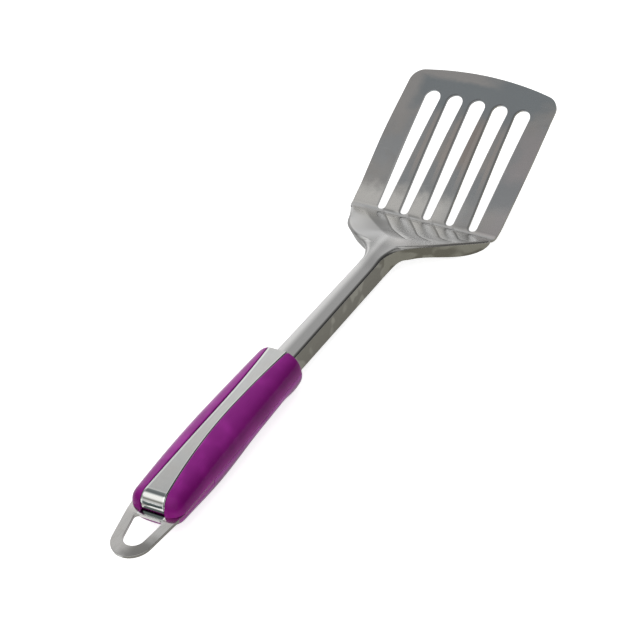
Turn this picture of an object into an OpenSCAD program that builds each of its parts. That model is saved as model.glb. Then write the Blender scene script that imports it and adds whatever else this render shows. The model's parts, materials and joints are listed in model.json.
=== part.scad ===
// Slotted turner with a channel shank, a two-part grip and a hanging loop.
// Built with the shank level, then set down on a table as it rests.

/* [Blade] */
// Width of the blade at its tip
blade_w = 80; // [70:0.5:90]
// Width of the blade at its crease
blade_rear_w = 77; // [68:0.5:88]
// Distance from the slots' rear centres to the middle of the tip
blade_reach = 77.4; // [74:0.2:84]
// Radius of the tip's shallow curve
tip_r = 167; // [120:1:260]
// Radius of the blade's two front corners
corner_r = 7.5; // [4:0.5:10]
// Thickness of the pressed sheet
sheet_t = 1; // [0.8:0.1:1.2]
// Angle of the blade to the shank, in degrees
blade_pitch = 27.4; // [24:0.2:30]

/* [Slots] */
// Number of slots
slot_count = 5; // [3:2:5]
// Distance between the slots' rear ends
slot_gap_rear = 12.4; // [11.5:0.1:13]
// Distance between the slots' front ends
slot_gap_tip = 12.26; // [11.5:0.02:13]
// Distance from the centres of the slots' front ends to the middle of the tip
tip_margin = 17.4; // [15.4:0.2:27.4]
// Radius of a slot's rear end
slot_rear_r = 2.2; // [2.1:0.1:2.6]
// Radius of a slot's front end
slot_tip_r = 4.1; // [3:0.1:4.4]

/* [Heel] */
// Distance from the slots' rear centres back to the crease
crease_back = 3.5; // [3.2:0.1:5]
// Slope of the heel's wall against the shank, in degrees
wall_slope = 22; // [20:0.5:24]
// Half-width of the heel at the back of its wings
wing_w = 11; // [10:0.2:12]
// Distance from the slots' rear centres back to the wings' end
wing_back = 38.5; // [36:0.5:40]
// Sideways slope of the wings above the shank, in degrees
wing_slope = 18; // [15:0.5:21]
// Height of the flange's lower edge under the wings
arch_z = 4.1; // [3:0.1:5]
// Depth of the flange's lower edge below the slots, near the corners
foot_drop = 3.2; // [2:0.1:4]

/* [Shank] */
// Width of the shank at its neck
neck_w = 9.4; // [8:0.2:10]
// Width of the shank inside the grip
tail_w = 11; // [10:0.2:12]
// Height of the shank's top above the slots' rear centres
shank_top = 9; // [8:0.2:10]
// Depth of the shank's channel
shank_depth = 10; // [8:0.2:10.4]
// Distance from the slots' rear centres to the grip
shank_reach = 129; // [110:1:150]
// Length of the shank inside the grip
tail_len = 46; // [40:1:48]

/* [Grip] */
// Length of the upper grip
grip_len = 104; // [98:1:120]
// Height of the parting plane at the grip's front
parting_z = 4.9; // [4:0.1:5.5]
// Droop of the grip against the shank, in degrees
grip_droop = 1.8; // [0:0.1:3]
// Half-width of the grip at its front
grip_front_half = 11; // [10:0.1:12]
// Half-width of the grip near its butt
grip_rear_half = 13.4; // [13:0.1:15]
// Height of the upper grip above the parting plane, at its front
grip_rise = 10.4; // [9.5:0.1:12]
// Loss of height towards the butt
grip_drop = 5.4; // [3:0.1:7]
// Distance from the front to where the height starts to drop
drop_start = 43; // [35:1:50]
// Depth of the lower grip at its finger hollow
hollow_depth = 7.5; // [7:0.1:9]
// Extra depth of the bulge at the front
front_bulge = 2.3; // [1:0.1:3]
// Extra depth of the belly under the palm
belly_bulge = 2.9; // [2:0.1:4]
// Thickness of the grip's walls
wall_t = 2.2; // [1.8:0.1:2.6]
// How far the lower grip reaches past the upper one at the butt
butt_step = 1.6; // [0:0.1:2]

/* [Trim strip] */
// Width of the strip at its waist
strip_waist_w = 5.9; // [5.8:0.1:7]
// Width of the strip at its front
strip_front_w = 9.8; // [8:0.1:11]
// Distance from the front to the waist
strip_waist_at = 45; // [40:1:50]
// Thickness of the strip
strip_t = 0.9; // [0.7:0.1:1]
// How far the strip lies below the rim of its groove
strip_sink = 0.8; // [0.4:0.1:1]
// Radius of the strip's roll over the butt
roll_r = 6; // [5:0.2:7]
// Width of the strip's front hook
hook_w = 5; // [4:0.5:6]

/* [Hanging loop] */
// Thickness of the loop's plate
plate_t = 1.5; // [1.2:0.1:1.8]
// Width of the plate's tongue inside the grip
tongue_w = 15; // [12:0.5:16]
// Outer radius of the loop
loop_r = 10; // [9.5:0.1:11]
// Radius of the hole's far end
eye_r = 5.2; // [4.5:0.1:5.6]
// Distance from the loop's bend to the centre of its outer curve
loop_reach = 13.9; // [12:0.1:16]
// Half-width of the hole near the grip
eye_half = 7; // [6:0.1:7.4]
// Droop of the loop against the grip, in degrees
loop_droop = 4.7; // [0:0.1:6]

/* [Screws] */
// Radius of the screws' thread
screw_r = 1.4; // [1.2:0.1:1.5]
// Radius of the screws' heads
head_r = 2.6; // [2.2:0.1:2.7]
// Height of the screws' heads
head_h = 1.6; // [1.2:0.1:1.8]
// Outer radius of the posts that take the screws
post_r = 3.6; // [3.2:0.1:3.8]
// Distances of the three screws from the grip's front
screw_at = [24, 62, 88];

/* [Hidden] */
$fn = 64;

steel = [0.68, 0.68, 0.67];
satin = [0.72, 0.73, 0.71];
purple = [0.42, 0.1, 0.38];
zinc = [0.6, 0.6, 0.58];

// Clearances of the fits, and lengths that only have to be long enough
fit_gap = 0.2;
seat_gap = 0.1;
edge_step = 0.05;
past = 1;
far = 3 * blade_w;

// Shape of the grip, as shares of its length or of its own height and width
section_power = 2.4;
bulge_at = 0.05;
bulge_span = 0.12;
belly_at = 0.67;
belly_span = 0.34;
widest_at = 0.87;
front_round = 2.5;
front_round_share = 0.12;
butt_round = 6.5;
butt_side_share = 0.46;
butt_top_share = 0.72;
belly_round = 11;
butt_under_share = 0.8;
floor_t = 1.6;
rib_t = 2;
rib_at = [10, 38];
hook_depth = 3;
tail_clear = 1;
plate_front = 50;
plate_neck = 73;
plate_flare = 3;
eye_corner_r = 2;
eye_back = 1;
eye_reach = 12.5;
screw_len = 12;
head_clear = 0.4;
web_gap = 0.25;
cross_w = 0.6;
cross_depth = 0.8;

// Smoothness of the drawn curves
curve_steps = 10;
arc_steps = 16;
side_steps = 12;
body_steps = 14;
end_steps = 5;

// Points on a cubic curve, and the same curve moved square to itself
function cubic(c, s) = pow(1 - s, 3) * c[0] + 3 * s * pow(1 - s, 2) * c[1]
    + 3 * s * s * (1 - s) * c[2] + pow(s, 3) * c[3];
function cubic_way(c, s) = pow(1 - s, 2) * (c[1] - c[0]) + 2 * s * (1 - s) * (c[2] - c[1])
    + s * s * (c[3] - c[2]);
function inset_curve(c, inset) = [for (i = [0:curve_steps])
    let (s = i / curve_steps, way = cubic_way(c, s))
    cubic(c, s) - inset * [-way.y, way.x] / norm(way)];
function mirrored(points) = [for (i = [len(points) - 1:-1:0]) [-points[i].x, points[i].y]];
function reversed(points) = [for (i = [len(points) - 1:-1:0]) points[i]];

// The tight outline around round corners, each [x, y, radius], listed anticlockwise
function tangent_turn(a, b) =
    let (way = [b.x - a.x, b.y - a.y])
    atan2(way.y, way.x) - 90 + asin((a.z - b.z) / norm(way));
function corner_arc(before, c, after) =
    let (start = tangent_turn(before, c), raw = tangent_turn(c, after) - start,
        turn = raw < 0 ? raw + 360 : raw)
    [for (i = [0:arc_steps]) let (a = start + turn * i / arc_steps)
        [c.x + c.z * cos(a), c.y + c.z * sin(a)]];
module round_outline(corners) {
    count = len(corners);
    polygon([for (i = [0:count - 1])
        each corner_arc(corners[(i + count - 1) % count], corners[i], corners[(i + 1) % count])]);
}

// A side view, drawn as [y, z], stretched across the width
module across(points, half = far) {
    translate([-half, 0, 0]) rotate([90, 0, 90]) linear_extrude(2 * half) polygon(points);
}

// A plan view stretched up and down
module upright(low = -far, high = far) {
    translate([0, 0, low]) linear_extrude(high - low) children();
}

// Heel and shank: level lines of the pressed sheet, seen from above and from the side
function on_blade(forward, up) = turned([forward, up], blade_pitch);
crease = on_blade(-crease_back, 0);
shank_low = shank_top - shank_depth;
mouth_y = -shank_reach;
tail_y = -shank_reach - tail_len;
neck_y = -1.3 * wing_back;

shoulder = [[blade_rear_w / 2, crease.x], [0.475 * blade_rear_w, -0.31 * wing_back],
    [1.75 * wing_w, -0.93 * wing_back], [wing_w, -wing_back]];
neck = [[wing_w, -wing_back], [0.7 * wing_w, -1.03 * wing_back],
    [neck_w / 2, -1.17 * wing_back], [neck_w / 2, neck_y]];
arch = [[neck_y, shank_low], [-1.13 * wing_back, shank_low],
    [-1.06 * wing_back, arch_z], [-0.94 * wing_back, arch_z]];
foot = [[-0.94 * wing_back, arch_z], [-0.8 * wing_back, arch_z],
    [-0.56 * wing_back, -foot_drop], [-0.31 * wing_back, -foot_drop]];
low_line = concat(
    [[tail_y - past, shank_low]],
    inset_curve(arch, 0),
    inset_curve(foot, 0),
    [on_blade(-crease_back - 0.7 * sheet_t, -0.95 * sheet_t)]);

function plan_side(inset) = concat(
    [[blade_rear_w / 2 - inset, past]],
    inset_curve(shoulder, inset),
    inset_curve(neck, inset),
    [[tail_w / 2 - inset, mouth_y], [tail_w / 2 - inset, tail_y - (inset > 0 ? past : 0)]]);

module plan(inset) {
    side = plan_side(inset);
    upright() polygon(concat(side, mirrored(side)));
}

// Everything under the heel's wall and the shank's top, both lowered by drop
module under_sheet(drop) {
    rise = tan(wall_slope);
    wall_z = crease.y - drop / cos(wall_slope) + rise * crease.x;
    top = shank_top - drop;
    wing_top = top + (far - neck_w / 2) * tan(wing_slope);
    intersection() {
        across([[far, -far], [far, wall_z - rise * far], [-far, wall_z + rise * far],
            [-far, -far]]);
        translate([0, far, 0]) rotate([90, 0, 0]) linear_extrude(2 * far)
            polygon([[-far, -far], [far, -far], [far, wing_top], [neck_w / 2, top],
                [-neck_w / 2, top], [-far, wing_top]]);
    }
}

// The heel and the channel shank: a hood of sheet, open below
module hood() {
    lap = on_blade(sheet_t / 2 - crease_back, -sheet_t / 2);
    keep = concat(low_line, [lap, [lap.x, far], [tail_y - past, far]]);
    difference() {
        intersection() {
            plan(0);
            under_sheet(0);
            across(keep, blade_w);
        }
        intersection() {
            plan(sheet_t);
            under_sheet(sheet_t);
        }
    }
}

// The flat blade, drawn level with its slots cut. Its rear edge laps into the heel's sheet,
// and its slots end a margin short of the tip.
slot_len = blade_reach - tip_margin;

module blade() {
    rear_half = blade_rear_w / 2 + edge_step;
    lap_half = (blade_rear_w - sheet_t) / 2;
    lap_y = -crease_back - 0.8 * sheet_t;
    tip_half = blade_w / 2;
    centre_y = blade_reach - tip_r;
    corner_x = tip_half - corner_r;
    corner_y = centre_y + sqrt(pow(tip_r - corner_r, 2) - corner_x * corner_x);
    touch_x = corner_x * tip_r / (tip_r - corner_r);
    translate([0, 0, -sheet_t]) linear_extrude(sheet_t) difference() {
        union() {
            polygon([[-lap_half, lap_y], [lap_half, lap_y], [rear_half, -crease_back],
                [tip_half, corner_y], [-tip_half, corner_y], [-rear_half, -crease_back]]);
            for (side = [-1, 1]) {
                translate([side * corner_x, corner_y]) circle(corner_r);
            }
            intersection() {
                translate([0, centre_y]) circle(tip_r, $fn = 360);
                translate([-touch_x, 0]) square([2 * touch_x, blade_reach]);
            }
        }
        for (i = [0:slot_count - 1]) {
            place = i - (slot_count - 1) / 2;
            round_outline([[place * slot_gap_rear, 0, slot_rear_r],
                [place * slot_gap_tip, slot_len, slot_tip_r]]);
        }
    }
}

// Grip: its own frame starts at the front of the parting plane, and s runs back to the butt
module grip_frame() {
    translate([0, mouth_y, parting_z]) rotate([grip_droop, 0, 0]) children();
}

function bump(t) = abs(t) < 1 ? pow(cos(90 * t), 2) : 0;
function raw_half(s) = grip_front_half
    + (grip_rear_half - grip_front_half) * (1 - pow(1 - min(s / (widest_at * grip_len), 1), 2));
function raw_rise(s) = grip_rise + tan(grip_droop) * s
    - grip_drop * pow(max(s - drop_start, 0) / (grip_len - drop_start), 2);
function raw_depth(s) = hollow_depth
    + front_bulge * bump((s / grip_len - bulge_at) / bulge_span)
    + belly_bulge * bump((s / grip_len - belly_at) / belly_span);
function end_share(away, round_len, share) =
    1 - share * (1 - sqrt(max(0, 1 - pow(1 - min(away / round_len, 1), 2))));
function front_share(s) = end_share(s, front_round, front_round_share);

// Stations along a grip, closer together where its ends are round
function stations(length) = concat(
    [for (i = [0:end_steps]) front_round * (1 - cos(90 * i / end_steps))],
    [for (i = [1:body_steps - 1])
        front_round + (length - front_round - butt_round) * i / body_steps],
    [for (i = [0:end_steps]) length - butt_round * (1 - sin(90 * i / end_steps))]);

// One half of the cross-section, drawn as [x, height] from side to side
function half_ring(half, height) = [for (i = [0:side_steps])
    let (a = 180 * i / side_steps, c = cos(a))
    [half * sign(c) * pow(abs(c), 2 / section_power), height * pow(sin(a), 2 / section_power)]];
function upper_ring(s, inset) =
    let (away = grip_len - s)
    half_ring(raw_half(s) * front_share(s) * end_share(away, butt_round, butt_side_share) - inset,
        raw_rise(s) * front_share(s) * end_share(away, butt_round, butt_top_share) - inset);
function lower_ring(s, inset) =
    let (away = grip_len + butt_step - s)
    half_ring(raw_half(s) * front_share(s) * end_share(away, butt_round, butt_side_share) - inset,
        inset - raw_depth(s) * front_share(s) * end_share(away, belly_round, butt_under_share));

// A closed skin over a list of rings, each placed at its own distance back
module skin(places, rings, flip) {
    count = len(rings[0]);
    points = [for (i = [0:len(rings) - 1]) for (p = rings[i]) [p.x, -places[i], p.y]];
    sides = [for (i = [0:len(rings) - 2]) for (j = [0:count - 1])
        let (a = i * count + j, b = i * count + (j + 1) % count, up = count)
        each [[a, b, b + up], [a, b + up, a + up]]];
    caps = [[for (j = [count - 1:-1:0]) j], [for (j = [0:count - 1]) len(points) - count + j]];
    faces = concat(sides, caps);
    polyhedron(points, flip ? [for (f = faces) reversed(f)] : faces);
}

function within(places, low, high) = concat([low],
    [for (s = places) if (s > low + fit_gap && s < high - fit_gap) s], [high]);

module upper_body(inset = 0) {
    places = within(stations(grip_len), inset, grip_len - inset);
    skin(places, [for (s = places) upper_ring(s, inset)], true);
}

module lower_body(inset = 0) {
    length = grip_len + butt_step;
    places = within(stations(length), inset, length - inset);
    skin(places, [for (s = places) lower_ring(s, inset)], false);
}

// Trim strip: its top line seen from the side, moved inwards by inset
function strip_top(s) = raw_rise(s) - strip_sink;
function strip_fall(s) = atan(2 * grip_drop * max(s - drop_start, 0)
    / pow(grip_len - drop_start, 2) - tan(grip_droop));
roll_start = grip_len - strip_sink - roll_r * (1 - sin(strip_fall(grip_len)));
roll_angle = strip_fall(roll_start);
roll_centre = [roll_start - roll_r * sin(roll_angle),
    strip_top(roll_start) - roll_r * cos(roll_angle)];
function strip_line(inset, start, finish) = concat(
    [for (i = [0:body_steps])
        let (s = start + (roll_start - start) * i / body_steps, a = strip_fall(s))
        [-s + inset * sin(a), strip_top(s) - inset * cos(a)]],
    [for (i = [1:end_steps])
        let (a = roll_angle + (90 - roll_angle) * i / end_steps, r = roll_r - inset)
        [-roll_centre.x - r * sin(a), roll_centre.y + r * cos(a)]],
    [[-roll_centre.x - roll_r + inset, finish]]);
function strip_half(s) = strip_waist_w / 2
    + (strip_front_w - strip_waist_w) / 2 * pow((s - strip_waist_at) / strip_waist_at, 2);

module strip_plan(gap) {
    places = [for (i = [0:side_steps]) (grip_len + past) * i / side_steps];
    side = concat([[strip_half(0) + gap, past * sign(gap)]],
        [for (s = places) [strip_half(s) + gap, -s]]);
    upright() polygon(concat(side, mirrored(side)));
}

// All that lies outside the strip's top line lowered by drop, as wide as the strip plus gap
module strip_groove(drop, gap) {
    intersection() {
        across(concat(strip_line(drop, -past, -past),
            [[-grip_len - 2 * past, -past], [-grip_len - 2 * past, far], [past, far]]), blade_w);
        strip_plan(gap);
    }
}

// Height of the shank's top in the grip's frame, at a distance from the front
function web_height(s) = (shank_top - parting_z + s * sin(grip_droop)) / cos(grip_droop);
function screw_seat(s) = strip_top(s) - strip_t - head_clear - head_h;

// The room that the shank's tail takes, in the shank's own frame
module tail_room(gap) {
    half = tail_w / 2 + gap;
    translate([-half, tail_y - gap, shank_low - gap])
        cube([2 * half, tail_len + past + gap, shank_depth + 2 * gap]);
}

module in_shank_frame() {
    rotate([-grip_droop, 0, 0]) translate([0, -mouth_y, -parting_z]) children();
}

// Cross ribs that hold the shank, before the room for the shank is cut out of them
module ribs() {
    for (s = rib_at) {
        translate([-far / 2, -s - rib_t / 2, -far / 2]) cube([far, rib_t, far]);
    }
}

// The hanging loop's plate, seen from above. Its bend lies just behind the lower grip.
bend_at = grip_len + butt_step;
plate_half = raw_half(grip_len) - seat_gap;

module plate_plan(gap) {
    tongue = tongue_w / 2 + gap;
    flare = plate_neck + plate_flare;
    wide = [for (i = [0:curve_steps]) flare + (bend_at - butt_round - flare) * i / curve_steps];
    side = concat([[tongue, gap - plate_front], [tongue, gap - plate_neck]],
        [for (s = wide) [raw_half(s) - seat_gap + gap, gap - s]],
        [[loop_side(0) + gap, -bend_at]]);
    polygon(concat(side, mirrored(side)));
}

loop_lean = asin((plate_half - loop_r) / (loop_reach + butt_round));
function loop_side(back) = (loop_r + (loop_reach - back) * sin(loop_lean)) / cos(loop_lean);

module loop_plan() {
    difference() {
        union() {
            circle_y = -loop_reach;
            touch = loop_r * [cos(loop_lean), -sin(loop_lean)];
            translate([0, circle_y]) circle(loop_r);
            polygon([[loop_side(0), 0], [-loop_side(0), 0], [-touch.x, circle_y - touch.y],
                [0, circle_y], [touch.x, circle_y - touch.y]]);
        }
        corner = [eye_half - eye_corner_r, -eye_back - eye_corner_r];
        round_outline([[-corner.x, corner.y, eye_corner_r], [0, -eye_reach, eye_r],
            [corner.x, corner.y, eye_corner_r]]);
    }
}

// Resting place: the heel's feet and the grip's belly touch the table
function turned(p, a) = [p.x * cos(a) - p.y * sin(a), p.x * sin(a) + p.y * cos(a)];
function from_grip(p) = [mouth_y, parting_z] + turned(p, grip_droop);
function from_loop(p) = from_grip([-bend_at, 0] + turned(p, loop_droop));
function belly_point(s) = from_grip([-s, min([for (p = lower_ring(s, 0)) p.y])]);
belly_points = [for (s = stations(grip_len + butt_step)) belly_point(s)];
function lowest(points, a) =
    let (heights = [for (p = points) turned(p, a).y]) points[search(min(heights), heights)[0]];
function tilt_between(a, b) = -atan2(b.y - a.y, b.x - a.x);
first_tilt = tilt_between(belly_point(belly_at * grip_len), foot[3]);
rest_tilt = tilt_between(lowest(belly_points, first_tilt), lowest(low_line, first_tilt));
tip_front = [turned([blade_reach, 0], blade_pitch + rest_tilt).x,
    turned([blade_reach, -sheet_t], blade_pitch + rest_tilt).x];
loop_rear = [for (z = [0, -plate_t]) turned(from_loop([-loop_reach - loop_r, z]), rest_tilt).x];
rest_z = turned(lowest(low_line, rest_tilt), rest_tilt).y;
mid_y = (max(tip_front) + min(loop_rear)) / 2;

module at_rest() {
    translate([0, -mid_y, -rest_z]) rotate([rest_tilt, 0, 0]) children();
}

module blade_and_shank() {
    color(steel) at_rest() {
        difference() {
            hood();
            grip_frame() translate([0, -screw_at[0], 0]) cylinder(far, r = screw_r + fit_gap);
        }
        rotate([blade_pitch, 0, 0]) blade();
    }
}

module hang_loop_plate() {
    color(steel) at_rest() grip_frame() {
        translate([0, 0, -plate_t]) linear_extrude(plate_t) difference() {
            plate_plan(0);
            for (s = [screw_at[1], screw_at[2]]) {
                translate([0, -s]) circle(screw_r + fit_gap);
            }
        }
        translate([0, -bend_at, 0]) rotate([loop_droop, 0, 0])
            translate([0, 0, -plate_t]) linear_extrude(plate_t) loop_plan();
    }
}

module upper_posts() {
    for (i = [0:2]) {
        s = screw_at[i];
        low = i == 0 ? web_height(s) + web_gap : 0;
        translate([0, -s, low]) cylinder(strip_top(s) - strip_t - low, r = post_r);
    }
}

module upper_grip() {
    color(purple) at_rest() grip_frame() difference() {
        union() {
            difference() {
                upper_body();
                difference() {
                    upper_body(wall_t);
                    ribs();
                    strip_groove(strip_t + floor_t, floor_t);
                }
            }
            upper_posts();
        }
        strip_groove(strip_t, fit_gap);
        in_shank_frame() tail_room(fit_gap);
        hook_room(fit_gap);
        for (s = screw_at) {
            translate([0, -s, -past]) cylinder(far, r = screw_r + fit_gap);
            translate([0, -s, screw_seat(s)]) cylinder(far, r = head_r + fit_gap);
        }
    }
}

module lower_posts() {
    for (i = [0:2]) {
        s = screw_at[i];
        top = i == 0 ? web_height(s) - sheet_t - web_gap : -plate_t;
        low = wall_t / 2 - raw_depth(s);
        translate([0, -s, low]) cylinder(top - low, r = post_r);
    }
}

module lower_grip() {
    color(purple) at_rest() grip_frame() difference() {
        union() {
            difference() {
                lower_body();
                difference() {
                    lower_body(wall_t);
                    ribs();
                }
                in_shank_frame() tail_room(fit_gap);
            }
            lower_posts();
        }
        translate([0, 0, -plate_t]) linear_extrude(plate_t + past) plate_plan(fit_gap);
        for (s = screw_at) {
            translate([0, -s, screw_seat(s) - screw_len - past])
                cylinder(far, r = screw_r + seat_gap / 2);
        }
    }
}

module hook_room(gap) {
    top = strip_top(0) - strip_t / 2;
    translate([-hook_w / 2 - gap, -strip_t - gap, top - hook_depth - gap])
        cube([hook_w + 2 * gap, strip_t + gap + (gap > 0 ? past : 0), hook_depth + gap]);
}

module trim_strip() {
    color(satin) at_rest() grip_frame() {
        intersection() {
            across(concat(strip_line(0, 0, tail_clear),
                reversed(strip_line(strip_t, 0, tail_clear))), blade_w);
            strip_plan(0);
        }
        hook_room(0);
    }
}

// A pan-head screw with its head on its seat
module grip_screw(s) {
    color(zinc) at_rest() grip_frame() translate([0, -s, screw_seat(s)]) difference() {
        union() {
            cylinder(head_h, r = head_r);
            translate([0, 0, -screw_len]) cylinder(screw_len, r = screw_r);
        }
        for (turn = [0, 90]) {
            rotate([0, 0, turn]) translate([-head_r * 0.6, -cross_w / 2, head_h - cross_depth])
                cube([head_r * 1.2, cross_w, head_h]);
        }
    }
}

module grip_screw_front() {
    grip_screw(screw_at[0]);
}

module grip_screw_middle() {
    grip_screw(screw_at[1]);
}

module grip_screw_rear() {
    grip_screw(screw_at[2]);
}

blade_and_shank();
hang_loop_plate();
upper_grip();
lower_grip();
trim_strip();
grip_screw_front();
grip_screw_middle();
grip_screw_rear();
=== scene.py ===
import json
from math import acos, asin, atan, atan2, cos, hypot, pi, radians, sin, sqrt, tan
import bmesh
import bpy
from mathutils import Matrix, Vector

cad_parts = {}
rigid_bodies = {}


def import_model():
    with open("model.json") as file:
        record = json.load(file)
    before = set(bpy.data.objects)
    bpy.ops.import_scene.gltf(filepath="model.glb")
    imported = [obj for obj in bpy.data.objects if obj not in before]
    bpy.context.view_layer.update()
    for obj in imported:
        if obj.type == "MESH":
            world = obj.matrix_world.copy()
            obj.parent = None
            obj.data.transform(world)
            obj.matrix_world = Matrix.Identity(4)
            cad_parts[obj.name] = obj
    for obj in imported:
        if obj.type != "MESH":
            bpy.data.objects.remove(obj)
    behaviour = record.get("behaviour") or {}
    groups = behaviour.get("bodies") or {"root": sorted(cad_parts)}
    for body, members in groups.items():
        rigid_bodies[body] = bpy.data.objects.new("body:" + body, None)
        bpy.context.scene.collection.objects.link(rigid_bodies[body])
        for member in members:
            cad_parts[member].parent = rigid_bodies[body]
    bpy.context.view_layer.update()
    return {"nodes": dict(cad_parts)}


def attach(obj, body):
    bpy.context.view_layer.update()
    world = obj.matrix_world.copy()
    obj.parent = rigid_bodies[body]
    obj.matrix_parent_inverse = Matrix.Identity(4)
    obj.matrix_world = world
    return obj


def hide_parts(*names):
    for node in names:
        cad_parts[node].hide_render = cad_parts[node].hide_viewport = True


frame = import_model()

print("stage: frame loaded", sorted(frame["nodes"]))


# Where things lie. Every piece is drawn in millimetres in a frame of its own and then set in place.

layout = dict(restTilt=-1.37634, midY=-94.1277, restZ=-2.91241, bladePitch=27.4,
              gripY=-129.0, gripZ=4.9, gripDroop=1.8, bendAt=105.6, loopDroop=4.7)


def turnX(angle):
    return Matrix.Rotation(radians(angle), 4, "X")


toTable = (Matrix.Scale(0.001, 4) @ Matrix.Translation((0, -layout["midY"], -layout["restZ"]))
           @ turnX(layout["restTilt"]))
toGrip = toTable @ Matrix.Translation((0, layout["gripY"], layout["gripZ"])) @ turnX(layout["gripDroop"])


# Shapes

def mixed(a, b, share):
    return a + (b - a) * share


def eased(value, low, high):  # 0 below low, 1 above high, smooth between
    t = min(max((value - low) / (high - low), 0), 1)
    return t * t * (3 - 2 * t)


def bump(t):
    return cos(pi / 2 * t) ** 2 if abs(t) < 1 else 0


def cubicPoint(c, t):
    return tuple((1 - t) ** 3 * c[0][k] + 3 * t * (1 - t) ** 2 * c[1][k]
                 + 3 * t * t * (1 - t) * c[2][k] + t ** 3 * c[3][k] for k in (0, 1))


def readTable(table, at):  # table of (place, value), places rising
    if at <= table[0][0]:
        return table[0][1]
    for (a, va), (b, vb) in zip(table, table[1:]):
        if at <= b:
            return mixed(va, vb, (at - a) / (b - a)) if b > a else vb
    return table[-1][1]


def tangentAngle(a, b):
    reach = hypot(b[0] - a[0], b[1] - a[1])
    return atan2(b[1] - a[1], b[0] - a[0]) - pi / 2 + asin((a[2] - b[2]) / reach)


def roundOutline(corners, steps):  # the tight outline around circles (x, y, radius)
    points = []
    for i, corner in enumerate(corners):
        before, after = corners[i - 1], corners[(i + 1) % len(corners)]
        start = tangentAngle(before, corner)
        sweep = (tangentAngle(corner, after) - start) % (2 * pi)
        for k in range(steps + 1):
            a = start + sweep * k / steps
            points.append((corner[0] + corner[2] * cos(a), corner[1] + corner[2] * sin(a)))
    return points


def addOutline(bm, points):
    verts = [bm.verts.new((x, y, 0)) for x, y in points]
    return [bm.edges.new((verts[i - 1], verts[i])) for i in range(len(verts))]


def addGrid(bm, columns, rows, place):  # a grid whose vertices go where place(column, row) says
    made = bmesh.ops.create_grid(bm, x_segments=columns, y_segments=rows, size=1)["verts"]
    for v in made:
        v.co = place(round((v.co.x + 1) / 2 * columns), round((v.co.y + 1) / 2 * rows))


def cutAcross(bm, places, normal):  # new edges where planes through these places cross the mesh
    for at in places:
        bmesh.ops.bisect_plane(bm, geom=bm.verts[:] + bm.edges[:] + bm.faces[:], dist=0.0001,
                               plane_co=[at * n for n in normal], plane_no=normal)


def faceUp(bm):  # all faces one way, and most of them upwards
    bmesh.ops.recalc_face_normals(bm, faces=bm.faces)
    if sum(f.normal.z * f.calc_area() for f in bm.faces) < 0:
        bmesh.ops.reverse_faces(bm, faces=bm.faces)


sharpAngle = radians(55)


def thicken(bm, thickness, edge, segments):  # a sheet given its thickness and rounded cut edges
    faceUp(bm)
    bmesh.ops.solidify(bm, geom=bm.faces, thickness=thickness)
    bmesh.ops.recalc_face_normals(bm, faces=bm.faces)
    sharp = [e for e in bm.edges if len(e.link_faces) == 2 and e.calc_face_angle(0) > sharpAngle]
    bmesh.ops.bevel(bm, geom=sharp, offset=edge, offset_type="OFFSET", segments=segments,
                    profile=0.5, affect="EDGES", material=-1, clamp_overlap=True)


def cleanUp(bm, distance=0.004):
    bmesh.ops.remove_doubles(bm, verts=bm.verts, dist=distance)
    bmesh.ops.dissolve_degenerate(bm, dist=distance / 2, edges=bm.edges)


def evenOut(piece):  # large flat faces keep their own normal beside small round edges
    modifier = piece.modifiers.new("evenNormals", "WEIGHTED_NORMAL")
    modifier.keep_sharp = True
    modifier.weight = 60


def finishPiece(bm, name, matrix, material, nodes, smoothAngle=35, weighted=False):
    bmesh.ops.transform(bm, matrix=matrix, verts=bm.verts)
    mesh = bpy.data.meshes.new(name)
    bm.to_mesh(mesh)
    bm.free()
    mesh.materials.append(material)
    for polygon in mesh.polygons:
        polygon.use_smooth = True
    mesh.set_sharp_from_angle(angle=radians(smoothAngle))
    piece = bpy.data.objects.new(name, mesh)
    bpy.context.scene.collection.objects.link(piece)
    if weighted:
        evenOut(piece)
    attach(piece, "root")
    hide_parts(*nodes)
    print("stage:", name, len(mesh.polygons), "faces")
    return piece


# Materials

class Wire:  # an output socket that can be used in Python expressions
    def __init__(self, board, socket):
        self.board, self.socket = board, socket

    def maths(self, operation, *values):
        return self.board.add("ShaderNodeMath", dict(operation=operation), dict(enumerate(values)))

    def __add__(self, other):
        return self.maths("ADD", self, other)

    def __sub__(self, other):
        return self.maths("SUBTRACT", self, other)

    def __rsub__(self, other):
        return self.maths("SUBTRACT", other, self)

    def __mul__(self, other):
        return self.maths("MULTIPLY", self, other)

    def __truediv__(self, other):
        return self.maths("DIVIDE", self, other)

    __radd__, __rmul__ = __add__, __mul__

    def beside(self, name):  # another output of the same node
        return Wire(self.board, self.socket.node.outputs[name])

    def absolute(self):
        return self.maths("ABSOLUTE", self)

    def root(self):
        return self.maths("SQRT", self)

    def power(self, exponent):
        return self.maths("POWER", self, exponent)

    def atMost(self, other):
        return self.maths("MINIMUM", self, other)

    def atLeast(self, other):
        return self.maths("MAXIMUM", self, other)

    def line(self, place, width, soft):  # 1 within width of the place, 0 past the soft edge
        return 1 - (self - place).absolute().step(width, width + soft)

    def step(self, low, high):  # smooth 0 to 1 while the value goes from low to high
        return self.board.add("ShaderNodeMapRange", dict(interpolation_type="SMOOTHSTEP", clamp=True),
                              {"Value": self, "From Min": low, "From Max": high})


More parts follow.
